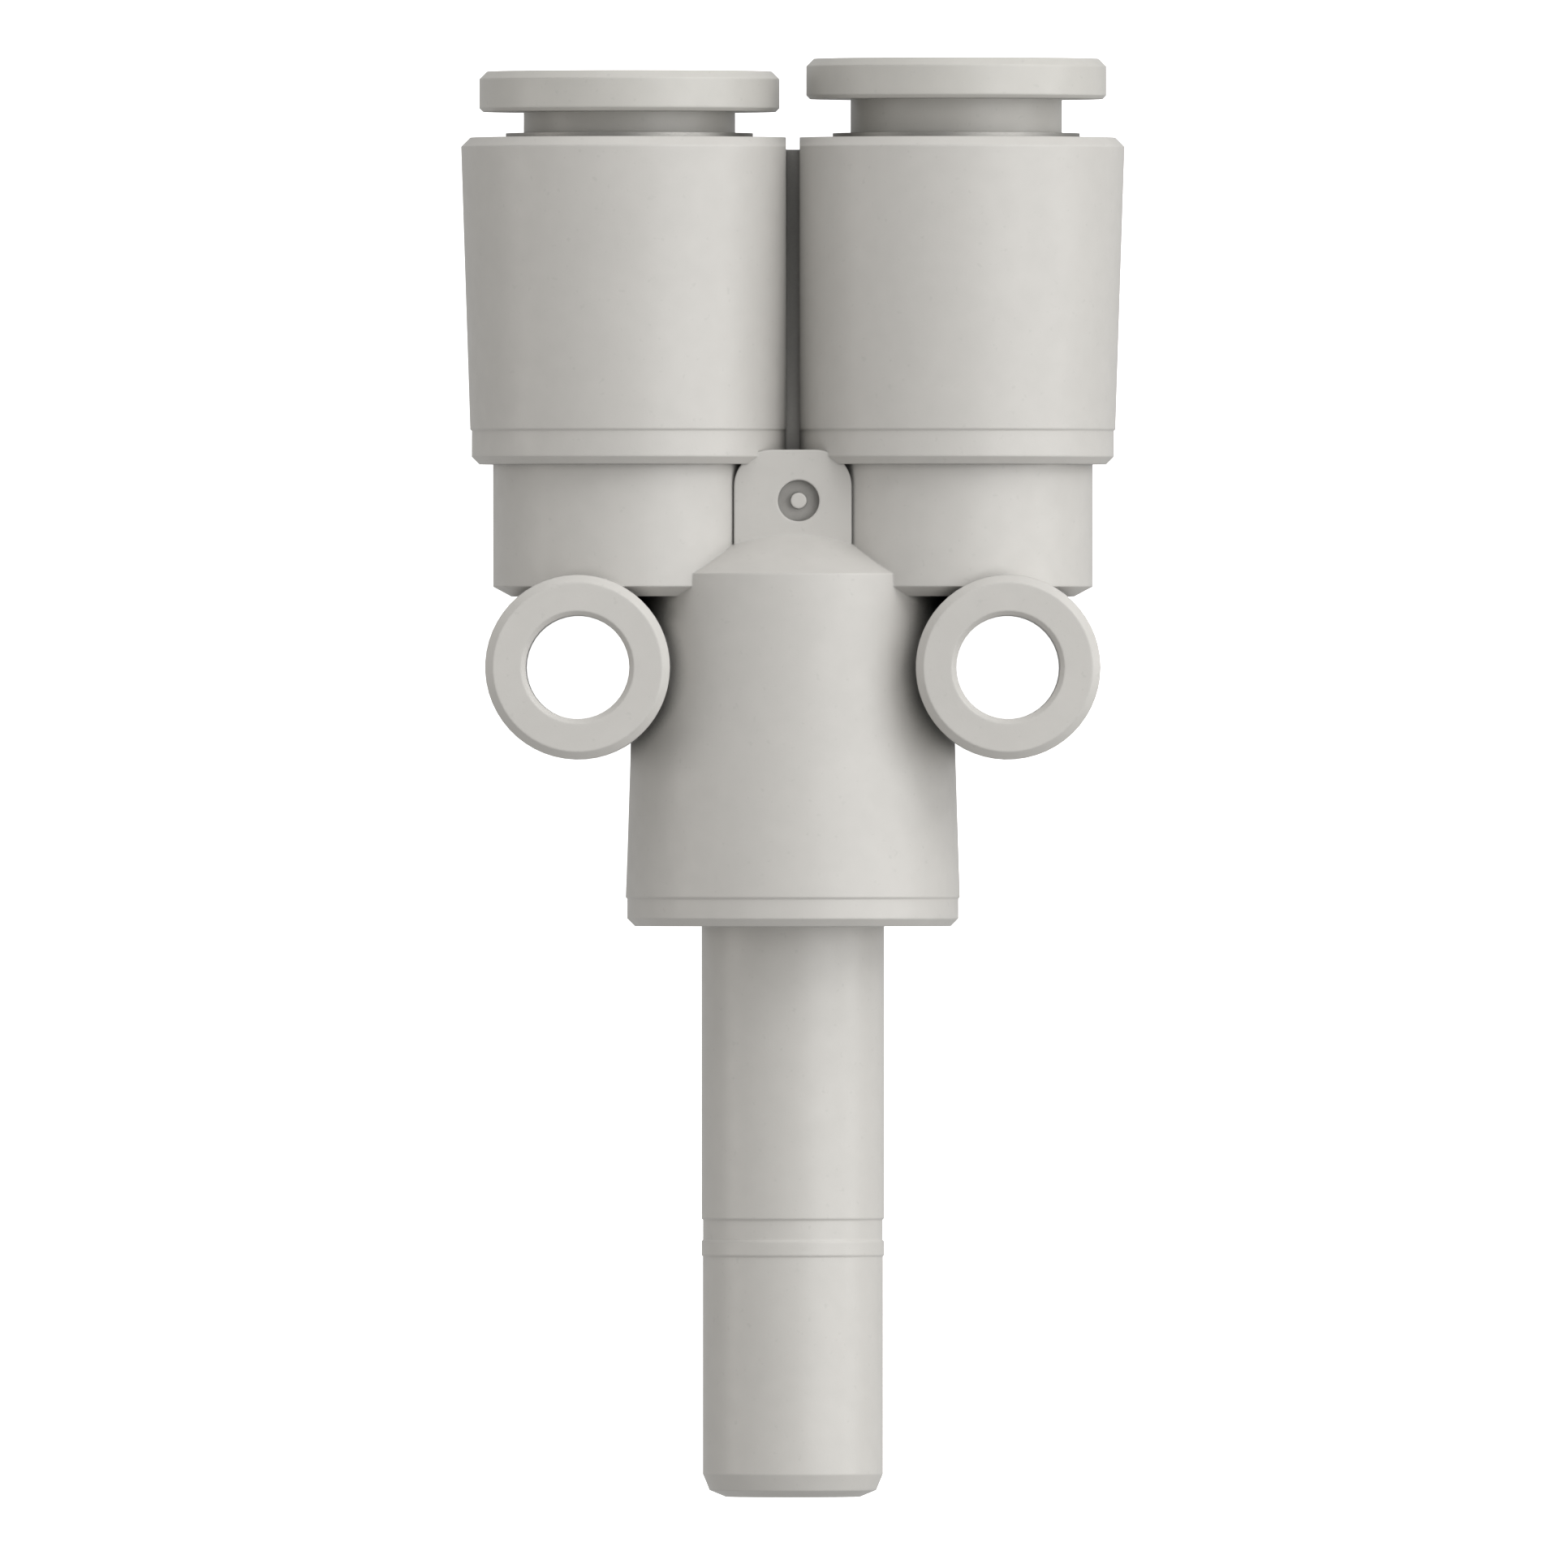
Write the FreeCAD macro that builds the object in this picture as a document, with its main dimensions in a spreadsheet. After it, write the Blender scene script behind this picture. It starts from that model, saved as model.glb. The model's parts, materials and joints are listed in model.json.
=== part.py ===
# Plug-in Y fitting for 6 mm tube: two push-to-connect ports side by side, joined to one
# plug stem that pushes into the port of another fitting, with an eyelet on each side.
# The fitting lies flat: +Y runs along the stem towards the ports, +X across the pair of
# ports and +Z up. The origin is the centre of the stem's root, where the stem leaves its
# barrel. Lengths are in millimetres.
import FreeCAD
import Part
import Sketcher
import math
import os
from types import SimpleNamespace

# The driving dimensions, each with its own name and written once.
DIMENSIONS = {
    # Plug stem, the size of the tube it stands in for
    "tube_radius": 3.0,
    "stem_length": 18.75,
    "stem_bore_radius": 2.0,
    "stem_tip_round": 0.75,
    "stem_bore_chamfer": 0.15,
    "stem_relief_start": 9.6,
    "stem_relief_length": 0.75,
    "stem_relief_depth": 0.05,
    "stem_land_length": 0.5,
    "stem_slimming": 0.04,
    # Shank of the stem inside the stem barrel, with its snap bead and ring groove
    "shank_radius": 3.6,
    "shank_length": 5.6,
    "shank_lead": 0.3,
    "shank_clearance": 0.02,
    "bead_start": 0.8,
    "bead_flat": 0.4,
    "bead_slope": 0.5,
    "bead_depth": 0.2,
    "ring_groove_setback": 2.7,
    "ring_groove_length": 1.0,
    "ring_groove_depth": 0.8,
    "ring_clearance": 0.02,
    "ring_width": 0.86,
    "ring_corner": 0.24,
    # Stem barrel
    "stem_barrel_length": 11.57,
    "stem_barrel_radius": 5.49,
    "stem_barrel_top_radius": 5.15,
    "stem_barrel_band": 0.9,
    "seam_step": 0.05,
    "barrel_edge": 0.25,
    "bevel_length": 1.28,
    # Web between the two necks
    "web_half_width": 1.93,
    "web_length": 2.79,
    "web_thickness": 6.04,
    "web_corner_round": 1.2,
    "mark_radius": 0.68,
    "mark_nub_radius": 0.26,
    "mark_depth": 0.4,
    "mark_height": 1.12,
    "mark_offset": 0.19,
    # Port barrels and their necks
    "port_pitch": 10.74,
    "neck_foot_height": 10.83,
    "neck_length": 4.34,
    "neck_radius": 4.48,
    "neck_edge": 0.32,
    "neck_edge_width": 0.6,
    "port_length": 10.74,
    "port_foot_radius": 5.23,
    "port_mouth_radius": 5.53,
    "port_band": 1.1,
    "mouth_edge": 0.3,
    "slot_width": 0.45,
    "slot_web_thickness": 1.0,
    "slot_web_setback": 0.4,
    # Eyelets on the flanks of the stem barrel
    "eyelet_pitch": 14.12,
    "eyelet_height": 8.5,
    "eyelet_radius": 3.03,
    "eyelet_bore_radius": 1.7,
    "eyelet_thickness": 10.4,
    "eyelet_edge": 0.25,
    "eyelet_bore_chamfer": 0.15,
    # Flow passages
    "core_radius": 1.9,
    "port_channel_radius": 1.88,
    "neck_floor": 0.8,
    "passage_height": 1.75,
    "passage_width": 3.0,
    # Pocket of each port
    "cassette_radius": 4.6,
    "cassette_depth": 5.5,
    "seal_pocket_radius": 4.3,
    "seal_length": 2.0,
    "tube_stop_depth": 12.0,
    "tube_clearance": 0.05,
    "fit_clearance": 0.02,
    # Guide ring of each port
    "guide_rise": 0.14,
    "guide_collar_radius": 4.06,
    "guide_lip_length": 0.85,
    "guide_lip_chamfer": 0.1,
    "guide_wall": 0.55,
    "guide_foot_taper": 0.3,
    # Chuck and the ring that backs it
    "backing_height": 1.05,
    "backing_land": 0.4,
    "backing_clearance": 0.25,
    "chuck_thickness": 0.25,
    "chuck_bend_radius": 3.7,
    "chuck_tooth_drop": 0.6,
    "chuck_bite": 0.15,
    "chuck_slot_width": 0.4,
    "chuck_tooth_clearance": 0.15,
    # Seal ring of each port
    "seal_bite": 0.15,
    "seal_lip_length": 1.35,
    "seal_lip_thickness": 0.3,
    "seal_heel_radius": 3.6,
    # Release button
    "button_travel": 1.05,
    "button_stop_gap": 0.07,
    "button_nose_gap": 0.1,
    "button_latch_gap": 0.05,
    "button_flange_radius": 4.93,
    "button_flange_thickness": 1.33,
    "button_flange_edge": 0.25,
    "button_under_edge": 0.12,
    "button_neck_radius": 3.475,
    "button_neck_clearance": 0.125,
    "button_bore_clearance": 0.1,
    "button_lead_in": 0.5,
    "button_barb_depth": 0.36,
    "button_barb_flat": 0.5,
    "button_barb_slope": 1.1,
    "button_leg_thickness": 0.34,
    "button_nose_chamfer": 0.15,
    "button_slot_width": 0.5,
    "left_button_press": 0.42,
}
TOOTH_COUNT = 12
LEG_SLOT_COUNT = 2
SIDES = {"left": -1, "right": 1}
FULL_TURN = 360
QUARTER_TURN = 90
# The stem's tip is two flats that follow a round. Their middle lies this share of the round's
# radius in from the sharp corner.
EASE = 1 - math.sqrt(0.5)


class Size:
    """A number together with the sheet expression that it comes from."""

    def __init__(self, value, text):
        self.value = value
        self.text = text

    def __add__(self, other):
        other = as_size(other)
        return Size(self.value + other.value, f"({self.text} + {other.text})")

    def __sub__(self, other):
        other = as_size(other)
        return Size(self.value - other.value, f"({self.text} - {other.text})")

    def __mul__(self, other):
        other = as_size(other)
        return Size(self.value * other.value, f"({self.text} * {other.text})")

    def __truediv__(self, other):
        other = as_size(other)
        return Size(self.value / other.value, f"({self.text} / {other.text})")

    def __neg__(self):
        return Size(-self.value, f"(0 - {self.text})")


def as_size(number):
    """A plain number as a size of its own, or a size as it is."""
    return number if isinstance(number, Size) else Size(number, str(number))


ZERO = Size(0.0, "0")

doc = FreeCAD.newDocument("plug_in_y_fitting")
sheet = doc.addObject("Spreadsheet::Sheet", "dims")
for row, (alias, number) in enumerate(DIMENSIONS.items(), start=1):
    sheet.set(f"A{row}", alias.replace("_", " "))
    sheet.set(f"B{row}", str(number))
    sheet.setAlias(f"B{row}", alias)
doc.recompute()
d = SimpleNamespace(**{alias: Size(number, f"dims.{alias}") for alias, number in DIMENSIONS.items()})

# Heights along Y and places across X that several pieces share.
half_pitch = d.port_pitch / 2
half_eyelets = d.eyelet_pitch / 2
half_web = d.web_thickness / 2
web_foot = d.stem_barrel_length + d.bevel_length
web_top = web_foot + d.web_length
neck_top = d.neck_foot_height + d.neck_length
mouth = neck_top + d.port_length
port_floor = d.neck_foot_height + d.neck_floor
tube_stop = mouth - d.tube_stop_depth
cassette_ledge = mouth - d.cassette_depth
seal_floor = cassette_ledge - d.seal_length
chuck_bottom = cassette_ledge + d.backing_height
chuck_top = chuck_bottom + d.chuck_thickness
collar_top = mouth + d.guide_rise
lip_bottom = collar_top - d.guide_lip_length
flange_bottom = collar_top + d.button_travel + d.button_stop_gap
flange_top = flange_bottom + d.button_flange_thickness
tube_pocket_radius = d.tube_radius + d.tube_clearance
cartridge_radius = d.cassette_radius - d.fit_clearance
lip_radius = d.button_neck_radius + d.button_neck_clearance
button_bore = d.tube_radius + d.button_bore_clearance
socket_radius = d.shank_radius + d.shank_clearance
groove_radius = d.shank_radius - d.ring_groove_depth
groove_foot = d.shank_length - d.ring_groove_setback
# How far a cut or a joined form runs past the face that it starts from.
OVERRUN = as_size(0.5)


def short_arc(start, end, radius, turn):
    """The smaller arc from start to end, anticlockwise if turn is 1, always drawn anticlockwise."""
    chord = end - start
    normal = FreeCAD.Vector(-chord.y, chord.x, 0).normalize()
    middle = (start + end) * 0.5
    reach = math.sqrt(max(radius**2 - (chord.Length / 2) ** 2, 0.0))
    centre = middle + normal * (reach * turn)
    first, last = (start, end) if turn > 0 else (end, start)
    low = math.atan2(first.y - centre.y, first.x - centre.x)
    high = math.atan2(last.y - centre.y, last.x - centre.x)
    if high < low:
        high += 2 * math.pi
    circle = Part.Circle(centre, FreeCAD.Vector(0, 0, 1), radius)
    return Part.ArcOfCircle(circle, low, high)


def bind(sketch, kind, references, size):
    """Add one sized constraint to a sketch and tie it to the sheet."""
    index = sketch.addConstraint(Sketcher.Constraint(kind, *references, size.value))
    sketch.setExpression(f"Constraints[{index}]", size.text)


def place(sketch, curve, point, x, y):
    """Hold one point of a curve at the place (x, y) of its sketch."""
    origin = (-1, 1)
    for kind, size, axis in (("DistanceX", x, -2), ("DistanceY", y, -1)):
        if size.text == ZERO.text:
            sketch.addConstraint(Sketcher.Constraint("PointOnObject", curve, point, axis))
        else:
            bind(sketch, kind, (*origin, curve, point), size)


def outline(sketch, steps):
    """Draw a closed outline, one step for each corner.

    A step (x, y) is a straight run to that corner. A step (x, y, radius, turn) is an arc to
    it, anticlockwise where turn is 1 and clockwise where it is -1.
    """
    corners = [FreeCAD.Vector(step[0].value, step[1].value, 0) for step in steps]
    runs = []
    for index, step in enumerate(steps):
        start = corners[index - 1]
        end = corners[index]
        if len(step) == 2:
            curve = sketch.addGeometry(Part.LineSegment(start, end))
            runs.append((curve, 1, 2))
        else:
            radius, turn = step[2:]
            curve = sketch.addGeometry(short_arc(start, end, radius.value, turn))
            runs.append((curve, 1, 2) if turn > 0 else (curve, 2, 1))
    for index, step in enumerate(steps):
        curve, _, last = runs[index]
        following, first, _ = runs[(index + 1) % len(runs)]
        sketch.addConstraint(Sketcher.Constraint("Coincident", curve, last, following, first))
        place(sketch, curve, last, step[0], step[1])
    for (curve, _, _), step in zip(runs, steps):
        if len(step) > 2:
            bind(sketch, "Radius", (curve,), step[2])


def ring_outline(sketch, x, y, radius):
    """Draw one full circle in a sketch."""
    centre = FreeCAD.Vector(x.value, y.value, 0)
    curve = sketch.addGeometry(Part.Circle(centre, FreeCAD.Vector(0, 0, 1), radius.value))
    place(sketch, curve, 3, x, y)
    bind(sketch, "Radius", (curve,), radius)


def plane_sketch(body, name, role, offset=None):
    """A sketch on one of the body's own planes, moved by an offset in the sketch's axes."""
    plane = next(item for item in body.Origin.OriginFeatures if item.Role == role)
    sketch = body.newObject("Sketcher::SketchObject", name)
    sketch.AttachmentSupport = (plane, [""])
    sketch.MapMode = "FlatFace"
    for axis, distance in (offset or {}).items():
        sketch.setExpression(f"AttachmentOffset.Base.{axis}", distance.text)
    doc.recompute()
    return sketch


def turned(body, name, kind, steps, role="XY_Plane", offset=None):
    """Revolve an outline about its sketch's upright axis, as added or as cut material."""
    sketch = plane_sketch(body, f"{name}_outline", role, offset)
    outline(sketch, steps)
    feature = body.newObject(kind, name)
    feature.Profile = sketch
    feature.ReferenceAxis = (sketch, ["V_Axis"])
    feature.Angle = FULL_TURN
    doc.recompute()
    return feature


def slab(body, name, sketch, thickness):
    """Add material from a sketch, half to each side of its plane."""
    pad = body.newObject("PartDesign::Pad", name)
    pad.Profile = sketch
    pad.SideType = "Symmetric"
    pad.setExpression("Length", thickness.text)
    doc.recompute()
    return pad


def through_cut(body, name, sketch):
    """Cut a sketch right through, to both sides of its plane."""
    pocket = body.newObject("PartDesign::Pocket", name)
    pocket.Profile = sketch
    pocket.SideType = "Symmetric"
    pocket.Type = "ThroughAll"
    doc.recompute()
    return pocket


def new_body(name):
    """An empty body with the name that its node has."""
    body = doc.addObject("PartDesign::Body", name)
    body.Label = name
    return body


def stem_socket_steps(radius, bead):
    """The stepped side of the shank, from its root to its snap bead's end, on a given radius."""
    return [
        (radius, d.bead_start),
        (radius + bead, d.bead_start),
        (radius + bead, d.bead_start + d.bead_flat),
        (radius, d.bead_start + d.bead_flat + d.bead_slope),
    ]


def add_stem_barrel(body):
    """The round barrel that holds the stem, with the bevel at its head down to the web's face."""
    band_radius = d.stem_barrel_radius - d.seam_step
    turned(body, "stem_barrel", "PartDesign::Revolution", [
        (ZERO, ZERO),
        (band_radius - d.barrel_edge, ZERO),
        (band_radius, d.barrel_edge),
        (band_radius, d.stem_barrel_band),
        (d.stem_barrel_radius, d.stem_barrel_band + d.seam_step),
        (d.stem_barrel_top_radius, d.stem_barrel_length),
        (half_web, web_foot),
        (ZERO, web_foot),
    ])


def add_port(body, name, side):
    """One port barrel on its neck."""
    band_radius = d.port_foot_radius - d.seam_step
    turned(body, f"{name}_port", "PartDesign::Revolution", [
        (ZERO, d.neck_foot_height),
        (d.neck_radius - d.neck_edge_width, d.neck_foot_height),
        (d.neck_radius, d.neck_foot_height + d.neck_edge),
        (d.neck_radius, neck_top),
        (band_radius - d.barrel_edge, neck_top),
        (band_radius, neck_top + d.barrel_edge),
        (band_radius, neck_top + d.port_band),
        (d.port_foot_radius, neck_top + d.port_band + d.seam_step),
        (d.port_mouth_radius, mouth - d.mouth_edge),
        (d.port_mouth_radius - d.mouth_edge, mouth),
        (ZERO, mouth),
    ], offset={"x": half_pitch * side})


def add_web_and_slot(body):
    """The slot between the port barrels, its thin middle web and the thick web below it."""
    half_slot = d.slot_width / 2
    slot = plane_sketch(body, "slot_outline", "XY_Plane")
    outline(slot, [
        (-half_slot, neck_top),
        (half_slot, neck_top),
        (half_slot, mouth + OVERRUN),
        (-half_slot, mouth + OVERRUN),
    ])
    through_cut(body, "slot", slot)

    strip = plane_sketch(body, "slot_web_outline", "XY_Plane")
    strip_top = mouth - d.slot_web_setback
    outline(strip, [
        (-d.slot_width, neck_top),
        (d.slot_width, neck_top),
        (d.slot_width, strip_top),
        (-d.slot_width, strip_top),
    ])
    slab(body, "slot_web", strip, d.slot_web_thickness)

    web = plane_sketch(body, "web_outline", "XY_Plane")
    outline(web, [
        (-d.web_half_width, web_foot - OVERRUN),
        (d.web_half_width, web_foot - OVERRUN),
        (d.web_half_width, web_top - d.web_corner_round),
        (d.web_half_width - d.web_corner_round, web_top, d.web_corner_round, 1),
        (d.web_corner_round - d.web_half_width, web_top),
        (-d.web_half_width, web_top - d.web_corner_round, d.web_corner_round, 1),
    ])
    slab(body, "web", web, d.web_thickness)

    mark = plane_sketch(body, "mark_outline", "XY_Plane", {"z": half_web})
    for radius in (d.mark_radius, d.mark_nub_radius):
        ring_outline(mark, d.mark_offset, web_foot + d.mark_height, radius)
    recess = body.newObject("PartDesign::Pocket", "moulding_mark")
    recess.Profile = mark
    recess.setExpression("Length", d.mark_depth.text)
    doc.recompute()


def add_eyelets(body):
    """The two mounting eyelets, which stand in the barrel's flanks below the necks."""
    half = d.eyelet_thickness / 2
    chamfer = d.eyelet_bore_chamfer
    for name, side in SIDES.items():
        place_of_eyelet = {"x": half_eyelets * side, "z": -d.eyelet_height}
        turned(body, f"{name}_eyelet", "PartDesign::Revolution", [
            (ZERO, -half),
            (d.eyelet_radius - d.eyelet_edge, -half),
            (d.eyelet_radius, d.eyelet_edge - half),
            (d.eyelet_radius, half - d.eyelet_edge),
            (d.eyelet_radius - d.eyelet_edge, half),
            (ZERO, half),
        ], "XZ_Plane", place_of_eyelet)
        turned(body, f"{name}_eyelet_bore", "PartDesign::Groove", [
            (ZERO, -half - chamfer),
            (d.eyelet_bore_radius + chamfer + chamfer, -half - chamfer),
            (d.eyelet_bore_radius, chamfer - half),
            (d.eyelet_bore_radius, half - chamfer),
            (d.eyelet_bore_radius + chamfer + chamfer, half + chamfer),
            (ZERO, half + chamfer),
        ], "XZ_Plane", place_of_eyelet)


def cut_passages(body):
    """The pockets of both ports, the stem's socket and the passages that join them."""
    passage_top = port_floor + d.passage_height
    for name, side in SIDES.items():
        turned(body, f"{name}_port_bore", "PartDesign::Groove", [
            (ZERO, port_floor),
            (d.port_channel_radius, port_floor),
            (d.port_channel_radius, tube_stop),
            (tube_pocket_radius, tube_stop),
            (tube_pocket_radius, seal_floor),
            (d.seal_pocket_radius, seal_floor),
            (d.seal_pocket_radius, cassette_ledge),
            (d.cassette_radius, cassette_ledge),
            (d.cassette_radius, mouth + OVERRUN),
            (ZERO, mouth + OVERRUN),
        ], offset={"x": half_pitch * side})

    turned(body, "stem_socket", "PartDesign::Groove", [
        (ZERO, -OVERRUN),
        (socket_radius, -OVERRUN),
        *stem_socket_steps(socket_radius, d.bead_depth),
        (socket_radius, d.shank_length),
        (d.core_radius, d.shank_length),
        (d.core_radius, passage_top),
        (ZERO, passage_top),
    ])

    cross = plane_sketch(body, "cross_passage_outline", "XY_Plane")
    outline(cross, [
        (-half_pitch, port_floor),
        (half_pitch, port_floor),
        (half_pitch, passage_top),
        (-half_pitch, passage_top),
    ])
    pocket = body.newObject("PartDesign::Pocket", "cross_passage")
    pocket.Profile = cross
    pocket.SideType = "Symmetric"
    pocket.setExpression("Length", d.passage_width.text)
    doc.recompute()


def make_fitting_body():
    """The one-piece moulded body."""
    body = new_body("fitting_body")
    add_stem_barrel(body)
    for name, side in SIDES.items():
        add_port(body, name, side)
    add_web_and_slot(body)
    add_eyelets(body)
    cut_passages(body)
    return body


def make_plug_stem():
    """The stem that plugs into another fitting, with the shank that the barrel holds."""
    body = new_body("plug_stem")
    slim_radius = d.tube_radius - d.stem_slimming
    relief_end = d.stem_relief_start + d.stem_relief_length
    land_end = relief_end + d.stem_land_length
    groove_end = groove_foot + d.ring_groove_length
    tip_bite = d.stem_tip_round * EASE
    turned(body, "stem", "PartDesign::Revolution", [
        (d.stem_bore_radius, d.stem_bore_chamfer - d.stem_length),
        (d.stem_bore_radius + d.stem_bore_chamfer, -d.stem_length),
        (slim_radius - d.stem_tip_round, -d.stem_length),
        (slim_radius - tip_bite, tip_bite - d.stem_length),
        (slim_radius, d.stem_tip_round - d.stem_length),
        (slim_radius, -land_end),
        (d.tube_radius, d.stem_slimming - land_end),
        (d.tube_radius, -relief_end),
        (d.tube_radius - d.stem_relief_depth, d.stem_relief_depth - relief_end),
        (d.tube_radius - d.stem_relief_depth, -d.stem_relief_start - d.stem_relief_depth),
        (d.tube_radius, -d.stem_relief_start),
        (d.tube_radius, ZERO),
        (d.shank_radius, ZERO),
        *stem_socket_steps(d.shank_radius, d.bead_depth - d.shank_clearance),
        (d.shank_radius, groove_foot),
        (groove_radius, groove_foot),
        (groove_radius, groove_end),
        (d.shank_radius, groove_end),
        (d.shank_radius, d.shank_length - d.shank_lead),
        (d.shank_radius - d.shank_lead, d.shank_length),
        (d.stem_bore_radius, d.shank_length),
    ])
    return body


def make_stem_o_ring():
    """The sealing ring in the shank's groove, drawn with the flats that its squeeze gives it."""
    body = new_body("stem_o_ring")
    inside = groove_radius + d.ring_clearance
    outside = socket_radius - d.ring_clearance
    middle = groove_foot + d.ring_groove_length / 2
    foot = middle - d.ring_width / 2
    head = middle + d.ring_width / 2
    corner = d.ring_corner
    turned(body, "ring", "PartDesign::Revolution", [
        (inside + corner, foot),
        (outside - corner, foot),
        (outside, foot + corner),
        (outside, head - corner),
        (outside - corner, head),
        (inside + corner, head),
        (inside, head - corner),
        (inside, foot + corner),
    ])
    return body


def port_body(name, side_name, sunk=ZERO):
    """An empty body that lies on the axis of one port, sunk into it by a given amount."""
    body = new_body(f"{name}_{side_name}")
    body.setExpression("Placement.Base.x", (half_pitch * SIDES[side_name]).text)
    body.setExpression("Placement.Base.y", (-sunk).text)
    return body


def make_seal(side_name):
    """The rubber ring whose lip grips the tube."""
    body = port_body("seal", side_name)
    rim = d.seal_pocket_radius - d.fit_clearance
    lip_radius_inside = d.tube_radius - d.seal_bite
    lip_end = cassette_ledge - d.seal_lip_length
    turned(body, f"seal_ring_{side_name}", "PartDesign::Revolution", [
        (d.seal_heel_radius, seal_floor),
        (rim, seal_floor),
        (rim, cassette_ledge),
        (d.tube_radius + d.backing_clearance, cassette_ledge),
        (lip_radius_inside, cassette_ledge - d.seal_lip_length / 2),
        (lip_radius_inside + d.seal_bite / 2, lip_end),
        (lip_radius_inside + d.seal_bite / 2 + d.seal_lip_thickness, lip_end),
        (d.seal_heel_radius, lip_end + d.seal_lip_thickness),
    ])
    return body


def make_backing_ring(side_name):
    """The ring that holds the seal down and carries the chuck."""
    body = port_body("backing_ring", side_name)
    inside = d.tube_radius + d.backing_clearance
    turned(body, f"backing_{side_name}", "PartDesign::Revolution", [
        (inside, cassette_ledge),
        (cartridge_radius, cassette_ledge),
        (cartridge_radius, chuck_bottom),
        (d.chuck_bend_radius + d.chuck_tooth_clearance, chuck_bottom),
        (inside, cassette_ledge + d.backing_land),
    ])
    return body


def make_chuck(side_name):
    """The thin steel ring whose inclined teeth bite the tube."""
    body = port_body("chuck", side_name)
    tip_radius = d.tube_radius - d.chuck_bite
    turned(body, f"chuck_cone_{side_name}", "PartDesign::Revolution", [
        (d.chuck_bend_radius, chuck_bottom),
        (cartridge_radius, chuck_bottom),
        (cartridge_radius, chuck_top),
        (d.chuck_bend_radius, chuck_top),
        (tip_radius, chuck_top - d.chuck_tooth_drop),
        (tip_radius, chuck_bottom - d.chuck_tooth_drop),
    ])
    half_slot = d.chuck_slot_width / 2
    slit = plane_sketch(body, f"chuck_slit_outline_{side_name}", "XZ_Plane")
    outline(slit, [
        (tip_radius - OVERRUN, -half_slot),
        (d.chuck_bend_radius, -half_slot),
        (d.chuck_bend_radius, half_slot),
        (tip_radius - OVERRUN, half_slot),
    ])
    cut = through_cut(body, f"chuck_slit_{side_name}", slit)
    repeat_about_port(body, f"chuck_slits_{side_name}", cut, TOOTH_COUNT, FULL_TURN)
    return body


def repeat_about_port(body, name, feature, count, angle):
    """Repeat a cut evenly about the port's axis."""
    axis = next(item for item in body.Origin.OriginFeatures if item.Role == "Y_Axis")
    pattern = body.newObject("PartDesign::PolarPattern", name)
    pattern.Originals = [feature]
    pattern.Axis = (axis, [""])
    pattern.Occurrences = count
    pattern.Angle = angle
    body.Tip = pattern
    doc.recompute()


def make_guide_ring(side_name):
    """The ring pressed into the mouth, whose lip keeps the release button in."""
    body = port_body("guide_ring", side_name)
    inside = cartridge_radius - d.guide_wall
    turned(body, f"guide_{side_name}", "PartDesign::Revolution", [
        (inside + d.guide_foot_taper, chuck_top),
        (cartridge_radius, chuck_top),
        (cartridge_radius, mouth),
        (d.guide_collar_radius, mouth),
        (d.guide_collar_radius, collar_top),
        (lip_radius + d.guide_lip_chamfer, collar_top),
        (lip_radius, collar_top - d.guide_lip_chamfer),
        (lip_radius, lip_bottom),
        (inside, lip_bottom),
        (inside, chuck_top + d.guide_foot_taper),
    ])
    return body


def make_release_button(side_name, sunk):
    """The flanged sleeve that opens the chuck, with four snap legs below the guide ring's lip."""
    body = port_body("release_button", side_name, sunk)
    leg_radius = button_bore + d.button_leg_thickness
    barb_top = lip_bottom - d.button_latch_gap
    barb_bottom = barb_top - d.button_barb_flat
    nose = chuck_top + d.button_nose_gap + d.button_travel
    turned(body, f"button_{side_name}", "PartDesign::Revolution", [
        (button_bore, nose),
        (leg_radius - d.button_nose_chamfer, nose),
        (leg_radius, nose + d.button_nose_chamfer),
        (leg_radius, barb_bottom - d.button_barb_slope),
        (d.button_neck_radius + d.button_barb_depth, barb_bottom),
        (d.button_neck_radius + d.button_barb_depth, barb_top),
        (d.button_neck_radius, barb_top),
        (d.button_neck_radius, flange_bottom),
        (d.button_flange_radius - d.button_under_edge, flange_bottom),
        (d.button_flange_radius, flange_bottom + d.button_under_edge),
        (d.button_flange_radius, flange_top - d.button_flange_edge),
        (d.button_flange_radius - d.button_flange_edge, flange_top),
        (button_bore + d.button_lead_in, flange_top),
        (button_bore, flange_top - d.button_lead_in),
    ])
    half_slot = d.button_slot_width / 2
    slot = plane_sketch(body, f"leg_slot_outline_{side_name}", "XY_Plane")
    outline(slot, [
        (-half_slot, nose - OVERRUN),
        (half_slot, nose - OVERRUN),
        (half_slot, barb_top),
        (-half_slot, barb_top),
    ])
    cut = through_cut(body, f"leg_slot_{side_name}", slot)
    repeat_about_port(body, f"leg_slots_{side_name}", cut, LEG_SLOT_COUNT, QUARTER_TURN)
    return body


def check_document():
    """Stop if any object of the document failed to build."""
    for item in doc.Objects:
        if "Invalid" in item.State or "Error" in item.State:
            raise RuntimeError(f"{item.Label} failed: {item.State}")


def write_parts(pieces):
    """Write each piece to its own file, named as its node."""
    os.makedirs("parts", exist_ok=True)
    for piece in pieces:
        shape = piece.Shape
        if shape.isNull() or not shape.isValid() or len(shape.Solids) != 1:
            raise RuntimeError(f"{piece.Label} isn't one valid solid")
        shape.exportStep(f"parts/{piece.Label}.step")
        print(f"{piece.Label}: {shape.Volume:.2f} mm3")


pieces = [make_fitting_body(), make_plug_stem(), make_stem_o_ring()]
for side_name, sunk in (("left", d.left_button_press), ("right", ZERO)):
    pieces.append(make_seal(side_name))
    pieces.append(make_backing_ring(side_name))
    pieces.append(make_chuck(side_name))
    pieces.append(make_guide_ring(side_name))
    pieces.append(make_release_button(side_name, sunk))
doc.recompute()
check_document()
write_parts(pieces)
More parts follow.
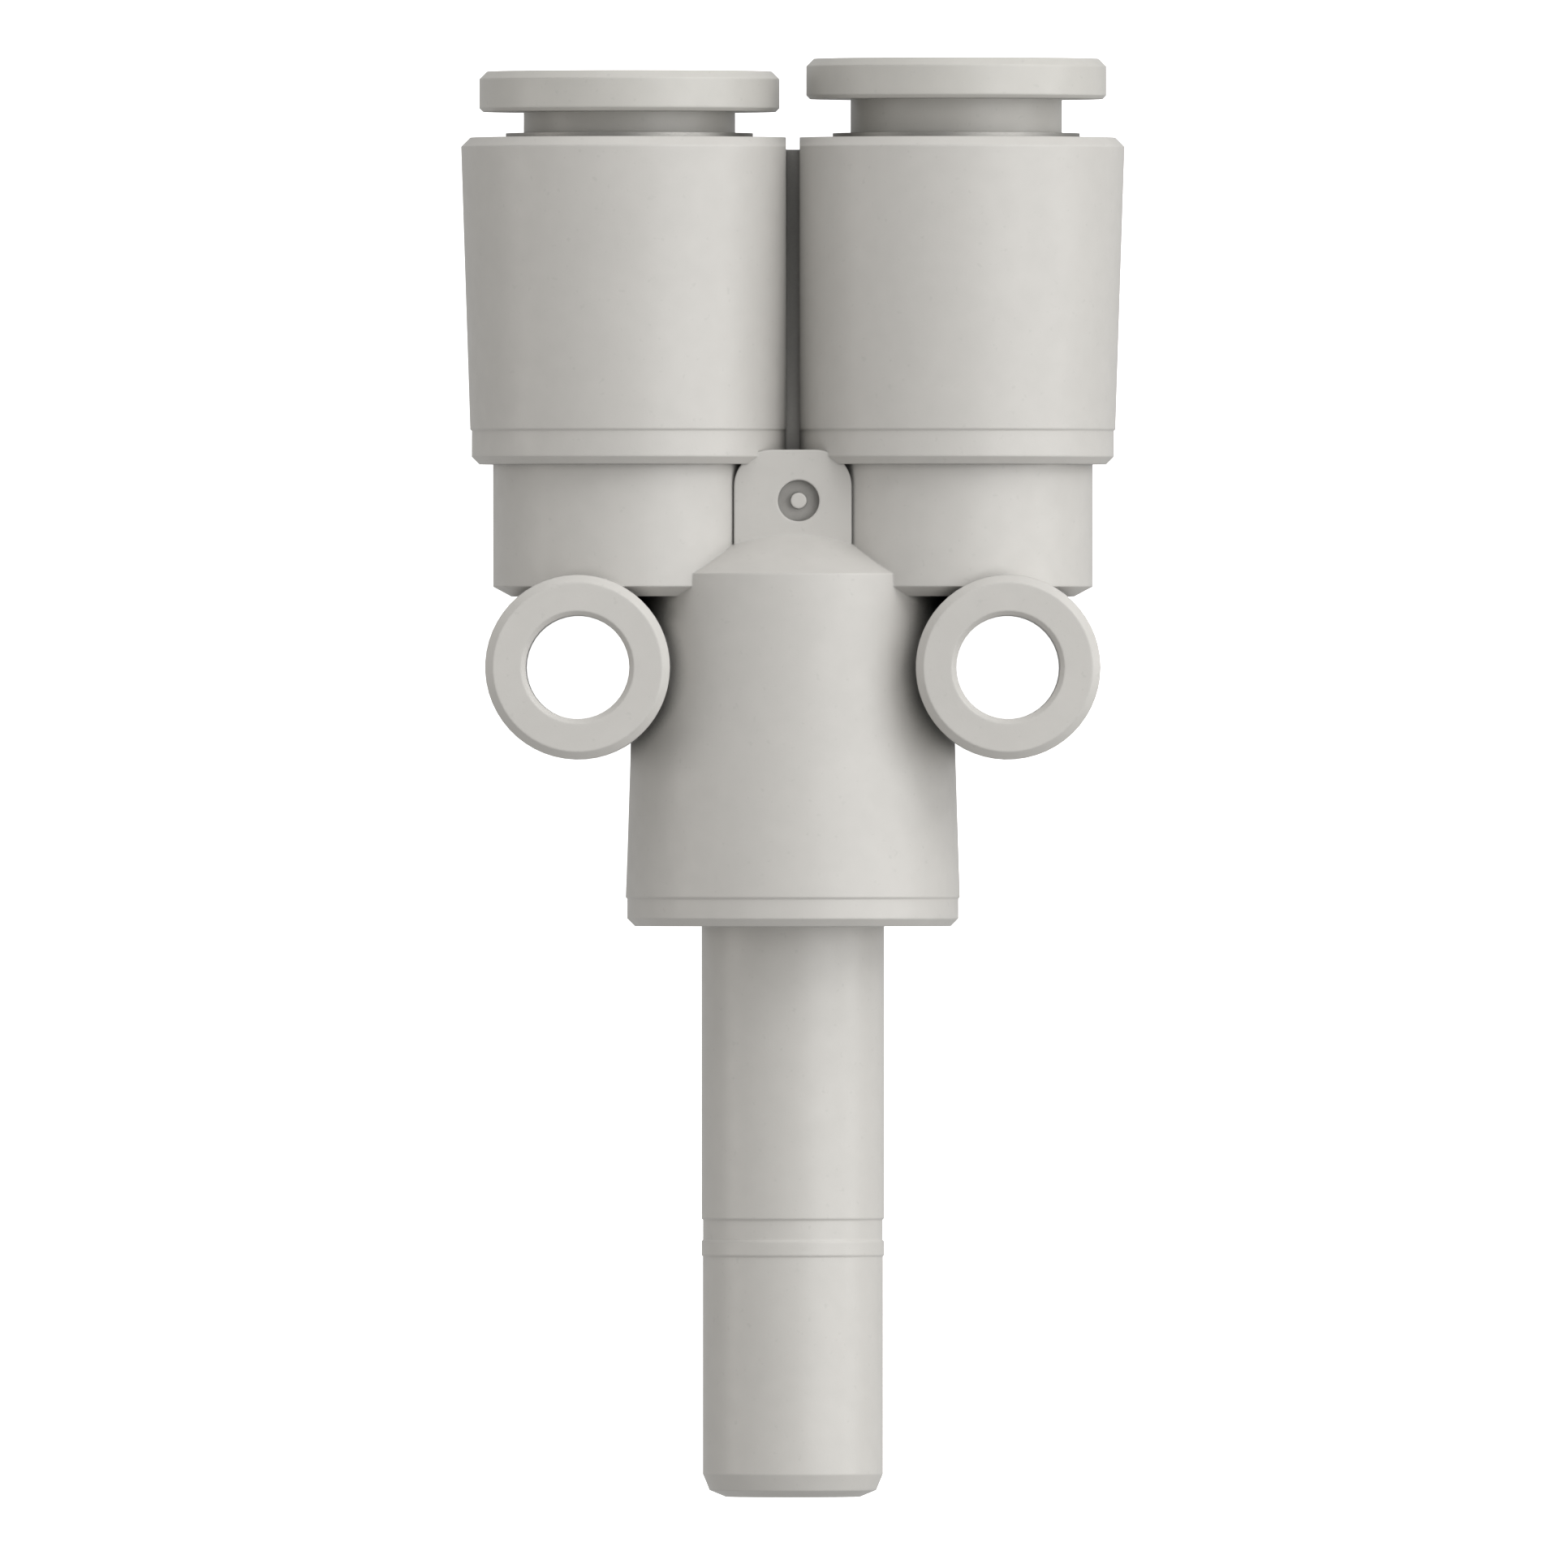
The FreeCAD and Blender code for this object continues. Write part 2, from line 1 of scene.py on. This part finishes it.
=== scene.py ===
import json
import math
import bpy
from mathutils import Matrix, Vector


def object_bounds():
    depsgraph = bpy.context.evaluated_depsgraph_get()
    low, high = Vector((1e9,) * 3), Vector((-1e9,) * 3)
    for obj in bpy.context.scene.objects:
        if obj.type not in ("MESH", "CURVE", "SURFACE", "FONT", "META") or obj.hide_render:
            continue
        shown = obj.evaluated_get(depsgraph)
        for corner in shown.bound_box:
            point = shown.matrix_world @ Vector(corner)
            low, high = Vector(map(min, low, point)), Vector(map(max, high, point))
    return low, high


MM = 0.001
WHITE = (1.0, 1.0, 1.0)
WARM = (1.0, 0.95, 0.90)
FULL = (0.0, 1.0)

# The range that most of a noise's values lie in
NOISE_MIDDLE = (0.3, 0.7)

# Main tones of the slots
BODY_TONE = (0.478, 0.465, 0.442)
STEM_TONE = (0.480, 0.467, 0.443)
BUTTON_TONE = (0.462, 0.451, 0.424)
BACKING_TONE = (0.60, 0.59, 0.56)
GUIDE_TONE = (0.44, 0.43, 0.41)
CHUCK_TONE = (0.50, 0.49, 0.47)

# Moulded resin: how it reflects, how its roughness swings, and how much smoother an edge is
RESIN_IOR = 1.54
RESIN_SPECULAR = 0.3
RESIN_SWING = (-0.02, 0.04)
EDGE_POLISH = 0.02

# Moulded resin: widths of its features and the depth of its grain
CLOUD_WAVE = 6.0 * MM
MOTTLE_WAVE = 0.7 * MM
SPECK_WAVE = 0.22 * MM
PORE_WAVE = 0.09 * MM
PORE_DEPTH = 0.0022 * MM
MOULDED_EDGE = 0.10 * MM
FINE_EDGE = 0.05 * MM
EDGE_SAMPLES = 4

# Moulded resin: flow clouds and specks
CLOUD_SHARE = 0.6
MOTTLE_SHARE = 0.4
CLOUD_RANGE = (0.36, 0.64)
CLOUD_SHADE = 0.945
SPECK_RANGE = (0.69, 0.78)
SPECK_STRENGTH = 0.6
SPECK_SHADE = 0.88

# Moulded resin: edges, where the rounded normal leaves the flat one; there the colour gets a
# painted highlight
EDGE_RANGE = (1.0, 0.93)
EDGE_HIGHLIGHT_SHARE = 0.7
EDGE_HIGHLIGHT_SHADE = 1.07

# Moulded resin: painted shade in deep crevices, darker where less of the surroundings within
# reach is open to a spot
CREVICE_SHADE_REACH = 0.9 * MM
CREVICE_SHADE_RANGE = (0.14, 0.42)
CREVICE_SHADE_FACTOR = 0.22
CREVICE_SHADE_SAMPLES = 4

# Turned steel
STEEL_SWING = (-0.06, 0.08)
TOOL_MARK_WAVE = 0.05 * MM
TOOL_MARK_DEPTH = 0.001 * MM
STAIN_WAVE = 1.5 * MM
STAIN_SHADE = 0.72

# Seal rubber
RUBBER_ROUGHNESS = (0.5, 0.72)
RUBBER_BLACK = (0.012, 0.012, 0.012)
RUBBER_BLOOM = (0.032, 0.032, 0.030)
BLOOM_WAVE = 0.8 * MM
RUBBER_PORE_WAVE = 0.06 * MM
RUBBER_PORE_DEPTH = 0.002 * MM

# Floor and surround
FLOOR_HALF_WIDTH = 1.5
FLOOR_TONE = (0.90, 0.90, 0.89)
FLOOR_ROUGHNESS = 0.9
FLOOR_GLOW = 1.0
SURROUND_TONE = (1.0, 1.0, 0.99)
SURROUND_STRENGTH = 0.53

# How far the softboxes stand away, and their two widths
LIGHT_DISTANCE = 0.8
LARGE = 0.5
SMALL = 0.3

# Each softbox: name, azimuth and elevation in degrees, width, power in watts and colour
SOFTBOXES = (
    ("key_light", 0.0, 55.0, LARGE, 1.62, WHITE),
    ("upper_key_light", 45.0, 25.0, LARGE, 2.75, WHITE),
    ("fill_light", 45.0, 55.0, LARGE, 0.56, WHITE),
    ("right_light", 0.0, 25.0, LARGE, 1.3, WHITE),
    ("low_right_light", 0.0, 8.0, SMALL, 0.45, WHITE),
    ("port_light", 90.0, 25.0, LARGE, 1.75, WHITE),
    ("left_light", 180.0, 25.0, LARGE, 0.3, WARM),
    ("low_left_light", 180.0, 8.0, SMALL, 0.5, WARM),
)

# Camera: the width and centre of what it sees, and a lens so long that the view is nearly flat
VIEW_WIDTH = 51.52 * MM
VIEW_CENTRE = Vector((-0.29 * MM, 4.67 * MM, 0.0))
LENS_MM = 1500.0
SENSOR_MM = 36.0

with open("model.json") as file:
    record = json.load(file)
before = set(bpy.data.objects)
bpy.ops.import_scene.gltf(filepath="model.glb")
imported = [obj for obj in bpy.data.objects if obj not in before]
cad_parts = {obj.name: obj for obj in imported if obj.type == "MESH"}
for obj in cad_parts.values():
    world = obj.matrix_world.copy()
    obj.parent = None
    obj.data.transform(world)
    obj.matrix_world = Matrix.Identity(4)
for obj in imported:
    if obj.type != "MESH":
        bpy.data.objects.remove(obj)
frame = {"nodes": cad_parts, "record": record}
cad_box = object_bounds()


def principled(name):
    """A new node material and its main shader."""
    material = bpy.data.materials.new(name)
    material.use_nodes = True
    nodes = material.node_tree.nodes
    shader = next(node for node in nodes if node.type == "BSDF_PRINCIPLED")
    return material, shader


def noise(tree, wave, detail, roughness=0.5):
    """Noise whose largest features are about one wave across, in metres of the CAD frame."""
    texture = tree.nodes.new("ShaderNodeTexNoise")
    texture.inputs["Scale"].default_value = 1.0 / wave
    texture.inputs["Detail"].default_value = detail
    texture.inputs["Roughness"].default_value = roughness
    place = tree.nodes.new("ShaderNodeTexCoord")
    tree.links.new(place.outputs["Object"], texture.inputs["Vector"])
    return texture.outputs["Fac"]


def spread(tree, value, from_range, to_range):
    """A value moved from one range to another and held inside it."""
    node = tree.nodes.new("ShaderNodeMapRange")
    node.inputs["From Min"].default_value, node.inputs["From Max"].default_value = from_range
    node.inputs["To Min"].default_value, node.inputs["To Max"].default_value = to_range
    tree.links.new(value, node.inputs["Value"])
    return node.outputs["Result"]


def arithmetic(tree, operation, first, second):
    """A sum, difference or product of two values. Each is a number or another node's output."""
    node = tree.nodes.new("ShaderNodeMath")
    node.operation = operation
    for socket, value in zip(node.inputs, (first, second)):
        if isinstance(value, float):
            socket.default_value = value
        else:
            tree.links.new(value, socket)
    return node.outputs["Value"]


def uneven(tree, value, roughness, swing):
    """A roughness that a noise moves down and up by the two ends of a swing."""
    lowest, highest = (roughness + step for step in swing)
    return spread(tree, value, NOISE_MIDDLE, (lowest, highest))


def shaded(colour, shade):
    """A colour made darker, or lighter where the shade is over 1."""
    return tuple(shade * part for part in colour)


def blend(tree, factor, first, second):
    """Two colours mixed by a factor. Each is a colour or another node's output."""
    node = tree.nodes.new("ShaderNodeMix")
    node.data_type = "RGBA"
    for name, colour in (("A", first), ("B", second)):
        socket = next(item for item in node.inputs if item.name == name and item.type == "RGBA")
        if isinstance(colour, tuple):
            socket.default_value = (*colour, 1.0)
        else:
            tree.links.new(colour, socket)
    tree.links.new(factor, node.inputs[0])
    return next(item for item in node.outputs if item.type == "RGBA")


def soft_edges(tree, radius):
    """The surface normal rounded over sharp edges, and how strongly it turns there."""
    rounded = tree.nodes.new("ShaderNodeBevel")
    rounded.samples = EDGE_SAMPLES
    rounded.inputs["Radius"].default_value = radius
    geometry = tree.nodes.new("ShaderNodeNewGeometry")
    alike = tree.nodes.new("ShaderNodeVectorMath")
    alike.operation = "DOT_PRODUCT"
    tree.links.new(rounded.outputs["Normal"], alike.inputs[0])
    tree.links.new(geometry.outputs["Normal"], alike.inputs[1])
    edge = spread(tree, alike.outputs["Value"], EDGE_RANGE, FULL)
    return rounded.outputs["Normal"], edge


def crevice_shaded(tree, colour, crevice_shade_colour):
    """A colour darkened by painted shade in deep crevices, where little around the spot is open.
    """
    occlusion = tree.nodes.new("ShaderNodeAmbientOcclusion")
    occlusion.samples = CREVICE_SHADE_SAMPLES
    occlusion.inputs["Distance"].default_value = CREVICE_SHADE_REACH
    openness = spread(tree, occlusion.outputs["AO"], CREVICE_SHADE_RANGE, FULL)
    return blend(tree, openness, crevice_shade_colour, colour)


def grain(tree, shader, height, depth, normal=None):
    """A bump of a real depth, in metres, laid over the surface normal."""
    bump = tree.nodes.new("ShaderNodeBump")
    bump.inputs["Strength"].default_value = 1.0
    bump.inputs["Distance"].default_value = depth
    tree.links.new(height, bump.inputs["Height"])
    if normal is not None:
        tree.links.new(normal, bump.inputs["Normal"])
    tree.links.new(bump.outputs["Normal"], shader.inputs["Normal"])


def moulded_resin(name, tone, roughness, edge_radius, painted_crevice_shade=False):
    """Satin moulded plastic, with painted shade darkening its deep crevices where that is asked
    for.

    It has wide faint flow clouds, fine dark specks, the grain of a spark-eroded mould with
    uneven gloss, and edges that are polished smoother and lightened by a painted highlight.
    """
    material, shader = principled(name)
    tree = material.node_tree
    shader.inputs["IOR"].default_value = RESIN_IOR
    shader.inputs["Specular IOR Level"].default_value = RESIN_SPECULAR
    clouds = noise(tree, CLOUD_WAVE, detail=3.0)
    mottle = noise(tree, MOTTLE_WAVE, detail=4.0)
    specks = noise(tree, SPECK_WAVE, detail=1.0)
    pores = noise(tree, PORE_WAVE, detail=3.0, roughness=0.6)
    normal, edge = soft_edges(tree, edge_radius)
    wide_drift = arithmetic(tree, "MULTIPLY", clouds, CLOUD_SHARE)
    fine_drift = arithmetic(tree, "MULTIPLY", mottle, MOTTLE_SHARE)
    drift = arithmetic(tree, "ADD", wide_drift, fine_drift)
    cloudiness = spread(tree, drift, CLOUD_RANGE, FULL)
    colour = blend(tree, cloudiness, tone, shaded(tone, CLOUD_SHADE))
    speckle = spread(tree, specks, SPECK_RANGE, (0.0, SPECK_STRENGTH))
    colour = blend(tree, speckle, colour, shaded(tone, SPECK_SHADE))
    # Painted highlight: the colour is lightened along the edges
    edge_highlight = arithmetic(tree, "MULTIPLY", edge, EDGE_HIGHLIGHT_SHARE)
    colour = blend(tree, edge_highlight, colour, shaded(tone, EDGE_HIGHLIGHT_SHADE))
    # Painted shade: the colour is darkened in deep crevices and gaps between parts
    if painted_crevice_shade:
        colour = crevice_shaded(tree, colour, shaded(tone, CREVICE_SHADE_FACTOR))
    tree.links.new(colour, shader.inputs["Base Color"])
    moulded = uneven(tree, mottle, roughness, RESIN_SWING)
    polish = arithmetic(tree, "MULTIPLY", edge, EDGE_POLISH)
    tree.links.new(arithmetic(tree, "SUBTRACT", moulded, polish), shader.inputs["Roughness"])
    grain(tree, shader, pores, PORE_DEPTH, normal)
    return material


def turned_steel(name, tone, roughness):
    """Bare stainless steel with fine tool marks and faint stains."""
    material, shader = principled(name)
    tree = material.node_tree
    marks = noise(tree, TOOL_MARK_WAVE, detail=3.0)
    stain = noise(tree, STAIN_WAVE, detail=3.0)
    shader.inputs["Metallic"].default_value = 1.0
    colour = blend(tree, stain, tone, shaded(tone, STAIN_SHADE))
    tree.links.new(colour, shader.inputs["Base Color"])
    tree.links.new(uneven(tree, marks, roughness, STEEL_SWING), shader.inputs["Roughness"])
    grain(tree, shader, marks, TOOL_MARK_DEPTH)
    return material


def nitrile(name):
    """Black seal rubber with a dusty bloom."""
    material, shader = principled(name)
    tree = material.node_tree
    bloom = noise(tree, BLOOM_WAVE, detail=4.0)
    pores = noise(tree, RUBBER_PORE_WAVE, detail=2.0)
    colour = blend(tree, bloom, RUBBER_BLACK, RUBBER_BLOOM)
    tree.links.new(colour, shader.inputs["Base Color"])
    roughness = spread(tree, bloom, NOISE_MIDDLE, RUBBER_ROUGHNESS)
    tree.links.new(roughness, shader.inputs["Roughness"])
    grain(tree, shader, pores, RUBBER_PORE_DEPTH)
    return material


def dress_nodes():
    """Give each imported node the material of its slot. The number of each is its roughness."""
    materials = {
        "body_resin": moulded_resin("body_resin", BODY_TONE, 0.36, MOULDED_EDGE, painted_crevice_shade=True),
        "stem_resin": moulded_resin("stem_resin", STEM_TONE, 0.32, MOULDED_EDGE),
        "button_resin": moulded_resin("button_resin", BUTTON_TONE, 0.34, MOULDED_EDGE),
        "backing_resin": moulded_resin("backing_resin", BACKING_TONE, 0.40, FINE_EDGE),
        "guide_steel": turned_steel("guide_steel", GUIDE_TONE, 0.50),
        "chuck_steel": turned_steel("chuck_steel", CHUCK_TONE, 0.40),
        "seal_rubber": nitrile("seal_rubber"),
    }
    slots = {part["node"]: part["material_slot"] for part in frame["record"]["subparts"]}
    for name, node in frame["nodes"].items():
        for slot in node.material_slots:
            slot.material = materials[slots[name]]


def build_stage():
    """A plain white floor that the fitting lies on.

    Like a lit backdrop it shows at one even white. It throws no light or shadow.
    """
    level = cad_box[0].z
    mesh = bpy.data.meshes.new("floor")
    square = ((-1, -1), (1, -1), (1, 1), (-1, 1))
    corners = [(x * FLOOR_HALF_WIDTH, y * FLOOR_HALF_WIDTH, level) for x, y in square]
    mesh.from_pydata(corners, [], [(0, 1, 2, 3)])
    floor = bpy.data.objects.new("floor", mesh)
    bpy.context.scene.collection.objects.link(floor)
    material, shader = principled("pale_floor")
    shader.inputs["Base Color"].default_value = (*FLOOR_TONE, 1.0)
    shader.inputs["Roughness"].default_value = FLOOR_ROUGHNESS
    shader.inputs["Emission Color"].default_value = (*WHITE, 1.0)
    shader.inputs["Emission Strength"].default_value = FLOOR_GLOW
    mesh.materials.append(material)
    floor.visible_diffuse = False
    floor.visible_glossy = False
    floor.visible_shadow = False


def softbox(name, azimuth, elevation, width, power, colour):
    """A square soft light that faces the fitting. Azimuth 0 is +X and 90 is +Y."""
    data = bpy.data.lights.new(name, "AREA")
    data.shape = "SQUARE"
    data.size = width
    data.energy = power
    data.color = colour
    light = bpy.data.objects.new(name, data)
    bpy.context.scene.collection.objects.link(light)
    turn = math.radians(azimuth)
    rise = math.radians(elevation)
    level = math.cos(rise)
    way = Vector((math.cos(turn) * level, math.sin(turn) * level, math.sin(rise)))
    light.location = way * LIGHT_DISTANCE
    light.rotation_euler = (-way).to_track_quat("-Z", "Y").to_euler()
    light.visible_camera = False


def build_lights():
    """Plain softboxes, strongest from the right, in an evenly lit surround like a light tent."""
    for box in SOFTBOXES:
        softbox(*box)
    world = bpy.data.worlds.new("surround")
    bpy.context.scene.world = world
    world.use_nodes = True
    background = world.node_tree.nodes["Background"]
    background.inputs["Color"].default_value = (*SURROUND_TONE, 1.0)
    background.inputs["Strength"].default_value = SURROUND_STRENGTH


def build_camera():
    """Looks straight down on the fitting, as the photograph does."""
    data = bpy.data.cameras.new("camera")
    data.sensor_width = SENSOR_MM
    data.lens = LENS_MM
    distance = VIEW_WIDTH * LENS_MM / SENSOR_MM
    data.clip_start = 0.1 * distance
    data.clip_end = 4.0 * distance
    camera = bpy.data.objects.new("camera", data)
    bpy.context.scene.collection.objects.link(camera)
    camera.location = VIEW_CENTRE + Vector((0.0, 0.0, distance))
    bpy.context.scene.camera = camera


dress_nodes()
build_stage()
build_lights()
build_camera()
bpy.context.scene.view_settings.view_transform = "Standard"
